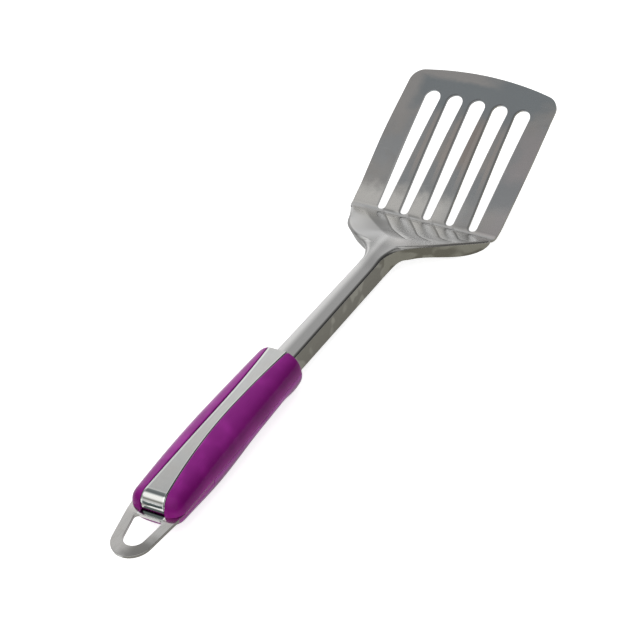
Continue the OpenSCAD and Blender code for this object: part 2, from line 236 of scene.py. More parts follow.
class Board:  # the nodes of one material or world
    def __init__(self, owner):
        owner.use_nodes = True
        self.owner, self.tree = owner, owner.node_tree
        self.tree.nodes.clear()

    def add(self, kind, settings=None, sockets=None, out=0):
        node = self.tree.nodes.new(kind)
        for key, value in (settings or {}).items():
            setattr(node, key, value)
        for key, value in (sockets or {}).items():
            self.feed(node.inputs[key], value)
        return None if out is None else Wire(self, node.outputs[out])

    def feed(self, socket, value):
        if isinstance(value, Wire):
            self.tree.links.new(value.socket, socket)
        else:
            socket.default_value = value

    def show(self, shader, kind="ShaderNodeOutputMaterial"):
        self.add(kind, None, {"Surface": shader}, out=None)
        return self.owner

    def place(self, matrix=None):  # object coordinates in millimetres, or in a piece's own frame
        point = self.add("ShaderNodeTexCoord", out="Object")
        if matrix is None:
            return self.add("ShaderNodeVectorMath", dict(operation="SCALE"), {0: point, "Scale": 1000})
        spot, turn, size = matrix.inverted().decompose()
        return self.add("ShaderNodeMapping", dict(vector_type="POINT"),
                        {"Vector": point, "Location": spot, "Rotation": turn.to_euler(), "Scale": size})

    def split(self, vector):
        first = self.add("ShaderNodeSeparateXYZ", None, {0: vector})
        return [first.beside(axis) for axis in "XYZ"]

    def stretched(self, vector, scale):
        return self.add("ShaderNodeVectorMath", dict(operation="MULTIPLY"), {0: vector, 1: scale})

    def noise(self, vector, scale, detail, roughness, distortion=0):  # scale is in waves to the millimetre
        return self.add("ShaderNodeTexNoise", dict(noise_dimensions="3D"),
                        {"Vector": vector, "Scale": scale, "Detail": detail,
                         "Roughness": roughness, "Distortion": distortion}, out="Fac")

    def blend(self, factor, a, b):
        a, b = (colour if isinstance(colour, Wire) else (*colour, 1) for colour in (a, b))
        return self.add("ShaderNodeMix", dict(data_type="RGBA"), {0: factor, 6: a, 7: b}, out=2)

    def painted(self, tone, look, layers):  # the look's named tones, laid over each other through their masks
        for mask, name in layers:
            tone = self.blend(mask, tone, look[name])
        return tone

    def bump(self, height, strength):  # height in millimetres
        return self.add("ShaderNodeBump", None, {"Height": height, "Strength": strength, "Distance": 0.001})


# fold, foldWall and foldLeft are painted shade along the folds; side, sideGlint and sideLeft are painted
# reflections on the upright sides
steelLook = dict(cool=(0.49, 0.50, 0.50), warm=(0.52, 0.505, 0.48), brown=(0.45, 0.42, 0.395),
                 dark=(0.36, 0.36, 0.36), fold=(0.22, 0.22, 0.21), foldWall=(0.42, 0.41, 0.39),
                 foldLeft=(0.28, 0.28, 0.275), side=(0.11, 0.105, 0.085), sideGlint=(0.19, 0.185, 0.155),
                 sideLeft=(0.22, 0.22, 0.215), sideFrom=0.0, rough=0.17, grainTone=0.16, grainRough=0.05,
                 grainDepth=0.0016, grainStretch=(1.6, 0.06, 1.6), scuffStretch=(0.10, 1.3, 0.8))


def makeSteel(name, look, frameMatrix, finish=None):
    board = Board(bpy.data.materials.new(name))
    spot = board.place(frameMatrix)
    cloud = board.noise(spot, 0.055, 3, 0.5)
    patches = board.noise(spot, 0.16, 2, 0.5, 0.4)
    grain = board.noise(board.stretched(spot, look["grainStretch"]), 1.0, 3, 0.6)
    scuff = board.noise(board.stretched(spot, look["scuffStretch"]), 1.0, 2, 0.7).step(0.66, 0.74)
    tone = board.blend(cloud.step(0.38, 0.62), look["cool"], look["warm"])
    tone = board.painted(tone, look, [(patches.step(0.45, 0.75) * 0.35, "brown"),
                                      (grain.step(0.3, 0.7) * look["grainTone"], "dark")])
    rough = look["rough"] + (cloud - 0.5) * 0.06 + (grain - 0.5) * look["grainRough"] + scuff * 0.08
    height = grain * look["grainDepth"] + scuff * -0.0015 + patches * 0.008
    # painted glints on the upright sides
    glints = board.noise(spot, 0.085, 1, 0.5, 0.6).step(0.50, 0.60) * 0.8
    side = board.blend(glints, look["side"], look["sideGlint"])
    # the piece's own painted reflections, highlights and shade, with its roughness and bumps
    if finish:
        tone, rough, height, side = finish(board, spot, tone, rough, height, side)
    # tones by the way the surface faces, as painted shade and reflections: darker folds along both edges,
    # then the upright sides in dark painted reflections with painted glints
    across, along, _ = board.split(spot)
    right = across.step(-0.5, 0.5)
    fold = board.blend(along.step(-42, -30), look["fold"], look["foldWall"])
    acrossNormal, _, upNormal = board.split(board.add("ShaderNodeTexCoord", out="Normal"))
    outward = acrossNormal * (right * 2 - 1)
    tone = board.blend(outward.step(0.08, 0.32), tone, board.blend(right, look["foldLeft"], fold))
    upright = 1 - upNormal.absolute().step(0.2, 0.5)
    steep = upright * outward.absolute().step(look["sideFrom"], look["sideFrom"] + 0.2)
    tone = board.blend(steep, tone, board.blend(right, look["sideLeft"], side))
    return board.show(board.add("ShaderNodeBsdfPrincipled", None, {
        "Base Color": tone, "Metallic": 1.0, "Roughness": rough, "Normal": board.bump(height, 1.0)}))


# high, above highFrom, is painted light on the upper surfaces; seam is a painted pale reflection near the
# seam
plasticLook = dict(low=(0.225, 0.0060, 0.182), high=(0.410, 0.0350, 0.360), highFrom=(4.5, 10.8),
                   seam=(0.365, 0.016, 0.29), seamTo=(0.3, 5.0), deep=(0.10, 0.002, 0.08),
                   dust=(0.5, 0.42, 0.5), rough=0.17, gloss=0.1)


def makePlastic(name, look):
    board = Board(bpy.data.materials.new(name))
    spot = board.place(toGrip)
    cloud = board.noise(spot, 0.08, 2, 0.5)
    peel = board.noise(spot, 0.9, 2, 0.5)
    fine = board.noise(spot, 6.0, 2, 0.6)
    dust = board.noise(spot, 2.4, 1, 0.5).step(0.74, 0.78)
    rub = board.noise(board.stretched(spot, (1.0, 0.08, 1.0)), 0.9, 2, 0.6).step(0.6, 0.75)
    h = board.split(spot)[2]
    # painted light: lighter higher up and a painted pale reflection near the seam; then random darker cloud,
    # rubbed marks and dust
    tone = board.blend(h.step(*look["highFrom"]), look["low"], look["high"])
    tone = board.painted(tone, look, [(1 - h.absolute().step(*look["seamTo"]), "seam"),
                                      (cloud.step(0.35, 0.65) * 0.3, "deep"), (rub * 0.15, "deep"),
                                      (dust * 0.08, "dust")])
    rough = look["rough"] + (cloud - 0.5) * 0.05 + rub * 0.05 + dust * 0.1
    height = peel * 0.010 + fine * 0.0012
    return board.show(board.add("ShaderNodeBsdfPrincipled", None, {
        "Base Color": tone, "Roughness": rough, "Normal": board.bump(height, 0.6),
        "IOR": 1.5, "Specular IOR Level": look["gloss"]}))


# The steel head: blade, heel and shank are one pressed sheet, drawn as its outer skin

head = dict(bladeTip=40.0, bladeRear=38.5, reach=77.4, tipRadius=167.0, cornerRadius=7.5, sheet=1.0,
            slots=5, slotGapRear=12.4, slotGapTip=12.26, slotLength=60.0, slotRear=2.2, slotTip=4.1,
            creaseBack=3.5, creaseRadius=5.5, wallStart=0.487, wallEase=0.0031, wallSoft=2.4,
            wingEnd=-38.5, wingHalf=11.0, neckHalf=4.7, tailHalf=5.5, neckY=-50.05, mouthY=-129.0,
            tailMiddle=-150.0, tailY=-175.0, top=9.0, ridgeHalf=4.2, ridgeSoft=2.0, ridgeRest=0.22,
            wingSlope=18.0, wingFade=(-56, -44), hump=0.55, humpFade=(-58, -44), droop=0.3,
            droopFade=(54, 129), arch=4.1, foot=-3.2, shankLow=-1.0, shankFrom=-60, foldHeel=1.5,
            foldShank=1.25, foldFade=(-60, -42), leastSqueeze=0.4, cutEdge=0.15, sideBow=0.3, crown=0.5,
            lap=0.02, topSteps=40, arcSteps=8, flangeSteps=4)
# the flange's foot beside the crease as (y, z), and the cross-sections as runs of first y, step and number
footEnd = [(-10.2, -3.1), (-8.6, -2.8), (-7.1, -2.3), (-6.0, -1.7)]
sectionRuns = [(-9.6, 0.6, 40), (-33.6, 0.45, 22), (-44, 1, 16), (-62, 6, 12)]
# how the real head is uneven: swells as (y, span, size) and fades as where they start and end
uneven = dict(grow=1.35, tipLess=0.8, tipFade=(26, 68), backFade=(38, 50), shoulder=(-31, 13, 1.8),
              corner=(0, 8, 0.4), leftDip=(-13, 11, 0.8), leftEdge=0.68, rightDip=(-4, 6, 0.5), tipDip=0.6,
              tipDipFade=(30, 60), rightEdge=0.7, lean=0.5, leanBelow=1.2, leanStart=(9, 18),
              leanEnd=(38, 48), leanEdge=(0.93, 0.99))


def headTables():
    end, half = head["wingEnd"], head["wingHalf"]
    creaseY = -head["creaseBack"] * cos(radians(layout["bladePitch"]))
    shoulder = [(head["bladeRear"], creaseY), (0.95 * head["bladeRear"], 0.31 * end),
                (1.75 * half, 0.93 * end), (half, end)]
    neck = [(half, end), (0.7 * half, 1.03 * end), (head["neckHalf"], 1.17 * end),
            (head["neckHalf"], head["neckY"])]
    side = [cubicPoint(shoulder, i / 80) for i in range(80)] + [cubicPoint(neck, i / 40) for i in range(41)]
    side += [(head["tailHalf"], head["mouthY"]), (head["tailHalf"], head["tailY"])]
    arch = [(head["neckY"], head["shankLow"]), (1.13 * end, head["shankLow"]),
            (1.06 * end, head["arch"]), (0.94 * end, head["arch"])]
    foot = [(0.94 * end, head["arch"]), (0.8 * end, head["arch"]), (0.56 * end, head["foot"]),
            (0.31 * end, head["foot"])]
    low = [cubicPoint(arch, i / 30) for i in range(30)] + [cubicPoint(foot, i / 40) for i in range(41)]
    return sorted((y, x) for x, y in side), low + footEnd


planTable, lowTable = headTables()


def planHalf(y):
    return readTable(planTable, y)


def softMin(a, b, width):
    h = min(max(0.5 + 0.5 * (b - a) / width, 0), 1)
    return mixed(b, a, h) - width * h * (1 - h)


def wallHeight(y):  # the wall rises behind the crease and eases into the roof over wings and shank
    pitch = radians(layout["bladePitch"])
    back = -head["creaseBack"] * cos(pitch) - y
    return -head["creaseBack"] * sin(pitch) + head["wallStart"] * back - head["wallEase"] * back * abs(back)


def roofHeight(x, y):
    past = abs(x) - head["ridgeHalf"]
    wing = 0.5 * (past + sqrt(past * past + head["ridgeSoft"] ** 2)) - head["ridgeRest"]
    wing *= tan(radians(head["wingSlope"]))
    hump = head["hump"] * eased(y, *head["humpFade"]) - head["droop"] * eased(-y, *head["droopFade"])
    return head["top"] + hump + wing * eased(y, *head["wingFade"])


def topHeight(x, y):
    if y < head["shankFrom"]:
        return roofHeight(x, y)
    return softMin(wallHeight(y), roofHeight(x, y), head["wallSoft"])


def sectionAt(y):  # half a cross-section of the outer skin, (x, z)
    half = planHalf(y)
    steep = (planHalf(y + 0.05) - planHalf(y - 0.05)) / 0.1
    # the fold keeps its radius where the outline turns in
    squeeze = max(head["leastSqueeze"], 1 / hypot(1, steep))
    corner = topHeight(half, y)
    slope = (corner - topHeight(half - 0.2, y)) / 0.2 / squeeze
    lean = atan(slope)
    radius = mixed(head["foldShank"], head["foldHeel"], eased(y, *head["foldFade"]))
    length = radius * tan((pi / 2 + lean) / 2)
    centreX, centreZ = -length * cos(lean) + radius * sin(lean), -length * sin(lean) - radius * cos(lean)
    depth = max(corner - readTable(lowTable, y), 0) if y > head["neckY"] else corner - head["shankLow"]
    finish = -pi / 2
    if depth < -centreZ:
        finish = min(lean, -acos(min(max((-depth - centreZ) / radius, -1), 1)))
    reached = (centreX - radius * sin(finish)) / squeeze
    foldX = half - length * cos(lean) / squeeze - reached
    foldZ = topHeight(foldX, y)
    lift = foldZ - (corner - length * sin(lean))
    points = [(foldX * i / head["topSteps"], topHeight(foldX * i / head["topSteps"], y))
              for i in range(head["topSteps"] + 1)]
    for i in range(1, head["arcSteps"] + 1):
        a = mixed(lean, finish, i / head["arcSteps"])
        points.append((half - reached + (centreX - radius * sin(a)) / squeeze,
                       corner + lift + centreZ + radius * cos(a)))
    lastX, lastZ = points[-1]
    lowZ = min(corner - depth, lastZ) if depth > 0 else lastZ
    return points + [(lastX, mixed(lastZ, lowZ, i / head["flangeSteps"]))
                     for i in range(1, head["flangeSteps"] + 1)]


def crease():  # the rounded valley between the blade and the wall: its start, length and centre
    pitch, wall = radians(layout["bladePitch"]), atan(head["wallStart"])
    start = head["creaseRadius"] * tan((pitch + wall) / 2) - head["creaseBack"]
    centreY = start * cos(pitch) - head["creaseRadius"] * sin(pitch)
    centreZ = start * sin(pitch) + head["creaseRadius"] * cos(pitch)
    return start, head["creaseRadius"] * (pitch + wall), centreY, centreZ


def bentPoint(x, v):  # a point of the unrolled blade, with its crown and its crease
    pitch = radians(layout["bladePitch"])
    start, length, centreY, centreZ = crease()
    if v >= start:
        z = head["crown"] * sin(pi * (v - start) / (head["reach"] - start)) ** 2
        return Vector((x, v * cos(pitch) - z * sin(pitch), v * sin(pitch) + z * cos(pitch)))
    a = pitch - (start - v) / head["creaseRadius"]
    return Vector((x, centreY + head["creaseRadius"] * sin(a), centreZ - head["creaseRadius"] * cos(a)))


def swell(y, form):  # one of the uneven head's swells
    place, span, size = form
    return size * bump((y - place) / span)


def handMade(x, y, z):  # a point's x on the uneven head: the left side stands out and its fold leans in
    share = abs(x) / planHalf(y)
    if x < 0:
        grow = uneven["grow"] * (1 - uneven["tipLess"] * eased(y, *uneven["tipFade"]))
        grow *= 1 - eased(-y, *uneven["backFade"])
        grow += swell(y, uneven["shoulder"]) + swell(y, uneven["corner"])
        grow -= swell(y, uneven["leftDip"])
        under = max(topHeight(planHalf(y), y) - z - uneven["leanBelow"], 0)
        under *= eased(-y, *uneven["leanStart"])
        under *= 1 - eased(-y, *uneven["leanEnd"])
        lean = under * uneven["lean"] * eased(share, *uneven["leanEdge"])
        return x - grow * eased(share, uneven["leftEdge"], 1) + lean
    dip = swell(y, uneven["rightDip"]) + uneven["tipDip"] * eased(y, *uneven["tipDipFade"])
    return x - dip * eased(share, uneven["rightEdge"], 1)


def skinSections(first):  # half sections of the wall and the shank as (y, x, z), back from the crease
    across = head["topSteps"] + head["arcSteps"] + head["flangeSteps"]
    foldHalf = planHalf(first.y) + head["lap"]
    sections = [[(first.y, foldHalf * min(i / head["topSteps"], 1), first.z) for i in range(across + 1)]]
    stations = [first.y - 0.5 * i for i in range(1, 8)]
    stations += [start - step * i for start, step, count in sectionRuns for i in range(count)]
    for y in stations + [head["mouthY"], head["tailMiddle"], head["tailY"]]:
        lift = (first.z - wallHeight(first.y)) * (1 - eased(-y, -first.y, 14))
        sections.append([(y, x, z + lift) for x, z in sectionAt(y)])
    return sections


def bladeOutline(start, length, foldHalf):  # the blade and its crease unrolled, from the rear left
    rearHalf = head["bladeRear"] + head["lap"]
    centre = head["reach"] - head["tipRadius"]
    cornerX = head["bladeTip"] - head["cornerRadius"]
    cornerY = centre + sqrt((head["tipRadius"] - head["cornerRadius"]) ** 2 - cornerX ** 2)
    touch = atan2(cornerY - centre, cornerX)
    side = [start - length * (1 - i / 8) for i in range(1, 8)]
    side = [(planHalf(bentPoint(0, v).y) + head["lap"], v) for v in side]
    side += [(mixed(rearHalf, head["bladeTip"], i / 24) + head["sideBow"] * sin(pi * i / 24),
              mixed(start, cornerY, i / 24)) for i in range(24)]
    side += [(cornerX + head["cornerRadius"] * cos(touch * i / 14),
              cornerY + head["cornerRadius"] * sin(touch * i / 14)) for i in range(15)]
    tip = [(head["tipRadius"] * cos(mixed(touch, pi - touch, i / 40)),
            centre + head["tipRadius"] * sin(mixed(touch, pi - touch, i / 40))) for i in range(1, 40)]
    rear = [(foldHalf * i / head["topSteps"], start - length)
            for i in range(-head["topSteps"], head["topSteps"] + 1)]
    return rear + side + tip + [(-x, y) for x, y in reversed(side)]


def addBlade(bm, start, length, foldHalf):  # filled flat between its outline and the slots, then bent
    flat = bmesh.new()
    edges = addOutline(flat, bladeOutline(start, length, foldHalf))
    for k in range(head["slots"]):
        shift = k - (head["slots"] - 1) / 2
        rear = (shift * head["slotGapRear"], 0, head["slotRear"])
        front = (shift * head["slotGapTip"], head["slotLength"], head["slotTip"])
        edges += addOutline(flat, roundOutline([rear, front], 18))
    bmesh.ops.triangle_fill(flat, edges=edges, use_beauty=True, normal=(0, 0, 1))
    cutAcross(flat, [start - length * i / 10 for i in range(10)], (0, 1, 0))
    cutAcross(flat, [mixed(start, head["reach"], i / 27) for i in range(1, 27)], (0, 1, 0))
    cutAcross(flat, (-36, -33, -30, 30, 33, 36), (1, 0, 0))
    for v in flat.verts:
        v.co = bentPoint(v.co.x, v.co.y)
    spare = bpy.data.meshes.new("spareBlade")
    flat.to_mesh(spare)
    flat.free()
    bm.from_mesh(spare)
    bpy.data.meshes.remove(spare)


def makeHead(material):
    start, length = crease()[:2]
    first = bentPoint(0, start - length)
    sections = skinSections(first)
    across = len(sections[0]) - 1
    bm = bmesh.new()

    def place(column, row):
        y, x, z = sections[row][abs(column - across)]
        return Vector((x if column > across else -x, y, z))

    addGrid(bm, 2 * across, len(sections) - 1, place)
    addBlade(bm, start, length, planHalf(first.y) + head["lap"])
    for v in bm.verts:
        v.co.x = handMade(*v.co)
    cleanUp(bm, 0.01)
    faceUp(bm)
    piece = finishPiece(bm, "headSheet", toTable, material, ["blade_and_shank"])
    sheet = piece.modifiers.new("sheetThickness", "SOLIDIFY")
    sheet.thickness, sheet.offset = head["sheet"] / 1000, -1
    rim = piece.modifiers.new("cutEdges", "BEVEL")
    rim.width, rim.segments = head["cutEdge"] / 1000, 2
    rim.limit_method, rim.angle_limit = "ANGLE", sharpAngle
    evenOut(piece)


# tones painted on the blade as reflections, highlights and shade
bladePaintedTones = dict(margin=(0.55, 0.515, 0.51), web=(0.49, 0.435, 0.395), low=(0.40, 0.42, 0.43),
                  band=(0.37, 0.40, 0.41), rim=(0.56, 0.54, 0.515), heel=(0.90, 0.88, 0.83),
                  streak=(0.58, 0.525, 0.48), slotDark=(0.20, 0.205, 0.205), slotPale=(0.66, 0.655, 0.64),
                  shankLeft=(0.58, 0.58, 0.57), shankRight=(0.27, 0.27, 0.265), wingRim=(0.30, 0.30, 0.295),
                  wing=(0.58, 0.58, 0.57), wall=(0.37, 0.37, 0.365), wallLow=(0.46, 0.46, 0.455),
                  shade=(0.26, 0.26, 0.255), crease=(0.27, 0.27, 0.265), wallDark=(0.12, 0.12, 0.115),
                  wallPale=(0.62, 0.62, 0.61))
# where they lie, in millimetres: X across, V along the blade, H above it, B behind the crease, A away from
# a slot, C across the ripples. Two numbers are where a fade starts and ends, three are a line's place, half
# width and soft edge.
bladeZones = dict(
    skinH=(2.4, 1.6), bladeV=(-6.0, -4.5), marginX=(26, 36), marginV=(48, 60), webX=(5, 6, 9),
    webV=(40, 8, 16), lowX=(-40, -10), lowV=(19, 4, 9), bandX=(22, 34), bandLag=12, bandV=(49, 60),
    rimX=(-6, 12), rimV=(69.5, 73), sideRimX=(-37, -30), sideRimV=(30, 55), heelX=(2, 20), heelV=(2, 14),
    creaseB=(-8, -5.5), rollA=(-0.3, 2.4), streakA=(2.1, 0.45, 1.5), streakFromV=(10, 30),
    streakToV=(47, 57), darkA=(0.2, 1.1), paleA=(0.15, 0.8), paleV=(28, 48), wallB=(2, 4),
    rimToWingX=(-36, -24), wingToLowX=(-24, -8), wingFromB=(3, 6), wingToB=(26, 38), shadeC=(-35.5, -32),
    wallC=(-23, -22), ripples=(-22.6, -8.7, 4.2, 15.3), paleFromC=(0.1, 0.9), paleToC=(1.6, 6),
    darkC=(-0.1, 0.25, 0.7), lipB=(1.9, 0.3, 0.8), lipFromC=(-0.5, 0.3), lipToC=(5, 8), lipX=(-16, 20),
    neckB=(27, 40), shankX=(-3.5, 0.5), smoothFromB=(4, 8), smoothToB=(36, 50), dullFromB=(10, 22),
    dullToB=(42, 52), dullX=(-16, -4))


def nearestSlot(x, v):  # how far a point is from the edge of the nearest slot, and from its middle line
    along = v.atLeast(0).atMost(head["slotLength"])
    gap = head["slotGapRear"] + along * ((head["slotGapTip"] - head["slotGapRear"]) / head["slotLength"])
    outermost = (head["slots"] - 1) / 2
    index = (x / gap).maths("ROUND", x / gap).atLeast(-outermost).atMost(outermost)
    sideways = x - index * gap
    reach = ((v - along).power(2) + sideways.power(2)).root()
    half = head["slotRear"] + along * ((head["slotTip"] - head["slotRear"]) / head["slotLength"])
    return reach - half, sideways


def bladePaintedLightAndRoughness(board, spot, tone, rough, height, side):
    look, at = bladePaintedTones, bladeZones
    x, v, h = board.split(board.place(toTable @ turnX(layout["bladePitch"])))
    back = board.split(spot)[1]
    onBlade = h.absolute().step(*at["skinH"]) * v.step(*at["bladeV"])
    drift = (board.noise(spot, 0.12, 2, 0.5) - 0.5) * 14
    fine = (board.noise(spot, 0.35, 2, 0.5) - 0.5) * 6
    # painted reflections: warm webs and margins, a cooler middle, a cloudy band round the slots' front ends,
    # a paler rim outside
    margin = (x + drift).step(*at["marginX"]) * (1 - v.step(*at["marginV"]))
    web = (x + drift * 0.5).line(*at["webX"]) * (v + drift).line(*at["webV"])
    low = (v + drift * 0.6).line(*at["lowV"]) * (x + drift).step(*at["lowX"])
    band = (v + drift - x.step(*at["bandX"]) * at["bandLag"]).step(*at["bandV"])
    rim = (v + drift * 0.4).step(*at["rimV"]) * (1 - (x + drift).step(*at["rimX"]))
    rim = rim.atLeast(1 - (x + drift * 0.4).step(*at["sideRimX"])) * (v + drift).step(*at["sideRimV"])
    # a painted highlight in the pale zone before the crease, stronger on the left, and painted shade in the
    # crease's valley
    lengthwise = board.split(board.add("ShaderNodeTexCoord", out="Normal"))[1]
    pale = 1 - (v - (x + 38) * 0.06 + drift * 0.5 + fine).step(*at["heelV"])
    pale = pale * (1 - x.step(*at["heelX"]) * 0.9)
    valley = (1 - (lengthwise - 0.2).absolute().step(0.08, 0.42)) * back.step(*at["creaseB"]) * 0.85
    # the punched edges roll over a little, shown with painted shade along each slot's left side, a painted
    # warm reflection beside it and a painted highlight along its right side; the outer sides of the outer
    # slots stay plain
    away, sideways = nearestSlot(x, v)
    rolled = (1 - away.step(*at["rollA"])) * onBlade
    outside = (x.absolute() - 24).step(0, 0.1)
    leftOf = (1 - sideways.step(-1.5, 1.5)) * (1 - outside * (1 - x.step(-1, 1)))
    streak = (away + fine * 0.08).line(*at["streakA"]) * leftOf
    streak = streak * v.step(*at["streakFromV"]) * (1 - (v + drift * 0.3).step(*at["streakToV"]))
    dark = (1 - away.step(*at["darkA"])) * leftOf
    light = (1 - away.step(*at["paleA"])) * (1 - leftOf)
    tone = board.painted(tone, look, [
        (margin * onBlade * 0.8, "margin"), (web * onBlade * 0.9, "web"), (low * onBlade * 0.8, "low"),
        (band * onBlade, "band"), (rim * onBlade * 0.9, "rim"),
        (pale * onBlade * (1 - lengthwise.step(-0.38, -0.12)), "heel"), (streak * onBlade * 0.7, "streak"),
        (dark * onBlade * 0.75, "slotDark"),
        (light * onBlade * (1 - v.step(*at["paleV"])) * 0.6, "slotPale")])
    # the wall under the blade in painted reflections and shade: a pale wing, a painted shade, then ripples
    # drawn as painted dark lines and pale crests that run back and to the right
    behind = 0 - back
    limit = 31 - (x - 2).power(2) * 0.02
    share = behind / limit.atLeast(6)
    inWall = behind.step(*at["wallB"]) * (1 - share.step(0.94, 1.04))
    curve = x - (behind - 2.5) * 0.85 - share.step(0.7, 1.1) * 7
    wing = board.blend(x.step(*at["rimToWingX"]), look["wingRim"], look["wing"])
    wing = board.blend(x.step(*at["wingToLowX"]), wing, look["wallLow"])
    tone = board.blend(behind.step(*at["wingFromB"]) * (1 - behind.step(*at["wingToB"])), tone, wing)
    shade = board.blend(curve.step(*at["wallC"]), look["shade"], look["wall"])
    tone = board.blend(curve.step(*at["shadeC"]) * inWall, tone, shade)
    for start in at["ripples"]:
        past = curve - start
        crest = past.step(*at["paleFromC"]) * (1 - past.step(*at["paleToC"]))
        lip = behind.line(*at["lipB"]) * past.step(*at["lipFromC"]) * (1 - past.step(*at["lipToC"]))
        tone = board.painted(tone, look, [
            (crest * inWall * 0.85, "wallPale"), (past.line(*at["darkC"]) * inWall * 0.85, "wallDark"),
            (lip * (1 - x.step(*at["lipX"]) * 0.7) * 0.5, "wallDark")])
    tone = board.blend(valley, tone, look["crease"])
    # the shank painted lighter on its left and darker on its right, as light and shade
    shank = board.blend(x.step(*at["shankX"]), look["shankLeft"], look["shankRight"])
    tone = board.blend(behind.step(*at["neckB"]), tone, shank)
    onWall = behind.step(*at["smoothFromB"]) * (1 - behind.step(*at["smoothToB"]))
    dull = behind.step(*at["dullFromB"]) * (1 - behind.step(*at["dullToB"])) * (1 - x.step(*at["dullX"]))
    rough, height = rough + dull * 0.22, height * (1 - onWall * 0.7)
    return tone, rough + onWall * 0.1, height - rolled * rolled * 0.03, side


# The hanging loop's plate

loop = dict(tongue=7.5, front=50.0, neck=73.0, flare=76.0, seat=0.1, thick=1.5, outer=10.0, reach=13.9,
            eyeHalf=7.0, eyeCorner=2.0, eyeBack=1.0, eyeReach=12.5, eyeRadius=5.2, edge=0.28, bendSpan=4.8)

# tones painted on the loop's plate as reflections, highlights and shade
loopPaintedTones = dict(dark=(0.21, 0.205, 0.195), hidden=(0.20, 0.035, 0.16), lip=(0.85, 0.87, 0.86),
                 tuck=(0.05, 0.075, 0.075), tab=(0.62, 0.42, 0.52))
# where they lie: X across the grip, S back along it; two numbers are a fade, three a line as in bladeZones
loopZones = dict(darkX=(-4, 5), darkS=(112, 122), hiddenS=(102.4, 103.2), lipX=(6.4, 6.9),
                 lipFromS=(102.6, 103.2), lipToS=(106.0, 106.7), tuckX=(5.8, 6.3), tuckToS=(105.3, 105.9),
                 tabX=(8.6, 0.6, 1.2), tabS=(104.8, 0.8, 1.4))


def loopPaintedLight(board, spot, tone, rough, height, side):
    at = loopZones
    x, back, _ = board.split(spot)
    s = 0 - back
    drift = (board.noise(spot, 0.12, 2, 0.5) - 0.5) * 10
    # a painted dark reflection over the right side towards the loop's end
    dark = (x + drift).step(*at["darkX"]) * (s + drift).step(*at["darkS"])
    hidden = 1 - s.step(*at["hiddenS"])  # the edge that shows between the two halves of the grip, in a painted dark purple reflection
    # a painted highlight on a lip with painted shade in its middle under the strip's end, and a painted pink
    # reflection on a tab
    lipStart = s.step(*at["lipFromS"])
    tuck = (1 - x.absolute().step(*at["tuckX"])) * lipStart * (1 - s.step(*at["tuckToS"]))
    lip = (1 - x.absolute().step(*at["lipX"])) * lipStart * (1 - s.step(*at["lipToS"])) * (1 - tuck)
    tab = x.line(*at["tabX"]) * s.line(*at["tabS"])
    tone = board.painted(tone, loopPaintedTones, [(dark * 0.9, "dark"), (lip * 0.9, "lip"), (tuck * 0.9, "tuck"),
                                           (tab * 0.7, "tab")])
    return tone, rough, height, board.blend(hidden, side, loopPaintedTones["hidden"])


# the grip and the strip, whose outlines the loop's plate and the shells follow
grip = dict(length=104.0, frontHalf=11.35, rearHalf=13.4, widestAt=0.87, rise=10.4, drop=5.4, dropStart=43.0,
            hollow=7.5, frontBulge=2.5, bellyBulge=2.89, bulgeAt=0.05, bulgeSpan=0.12, bellyAt=0.67,
            bellySpan=0.34, frontRound=2.5, frontShare=0.05, buttRound=6.5, sideShare=0.46, topShare=0.72,
            bellyRound=9.0, underShare=0.68, power=2.4, step=1.6, seam=0.28, rim=0.42, plateLine=75.9)

strip = dict(waist=2.95, front=4.9, waistAt=45.0, thick=0.9, sink=0.8, roll=6.0, gap=0.2,
             rollS=97.30, rollH=2.33, rollStart=98.06, end=1.0, edge=0.2)


def rawHalf(s):
    share = 1 - (1 - min(s / (grip["widestAt"] * grip["length"]), 1)) ** 2
    return grip["frontHalf"] + (grip["rearHalf"] - grip["frontHalf"]) * share


def rawRise(s):
    fall = max(s - grip["dropStart"], 0) / (grip["length"] - grip["dropStart"])
    return grip["rise"] + tan(radians(layout["gripDroop"])) * s - grip["drop"] * fall ** 2


def rawDepth(s):
    share = s / grip["length"]
    return (grip["hollow"] + grip["frontBulge"] * bump((share - grip["bulgeAt"]) / grip["bulgeSpan"])
            + grip["bellyBulge"] * bump((share - grip["bellyAt"]) / grip["bellySpan"]))


def endShare(away, roundLength, share):
    return 1 - share * (1 - sqrt(max(0, 1 - (1 - min(max(away, 0) / roundLength, 1)) ** 2)))


def stripHalf(s):
    return mixed(strip["waist"], strip["front"], ((s - strip["waistAt"]) / strip["waistAt"]) ** 2)


def stripHeight(s, inset):  # height of the strip's top line, lowered by inset
    if s <= strip["rollStart"]:
        return rawRise(s) - strip["sink"] - inset
    inside = (strip["roll"] - inset) ** 2 - (s - strip["rollS"]) ** 2
    return strip["rollH"] + sqrt(inside) if inside > 0 else strip["rollH"]


def droop(point, start):  # a point of the flat plate, bent down behind start over the bend's span
    x, s, h = point
    angle, span = radians(layout["loopDroop"]), loop["bendSpan"]
    if s > start:
        radius = span / angle
        turned = min((s - start) / span, 1) * angle
        past = max(s - start - span, 0)
        s = start + (radius + h) * sin(turned) + past * cos(turned)
        h = (radius + h) * cos(turned) - radius - past * sin(turned)
    return x, -s, h


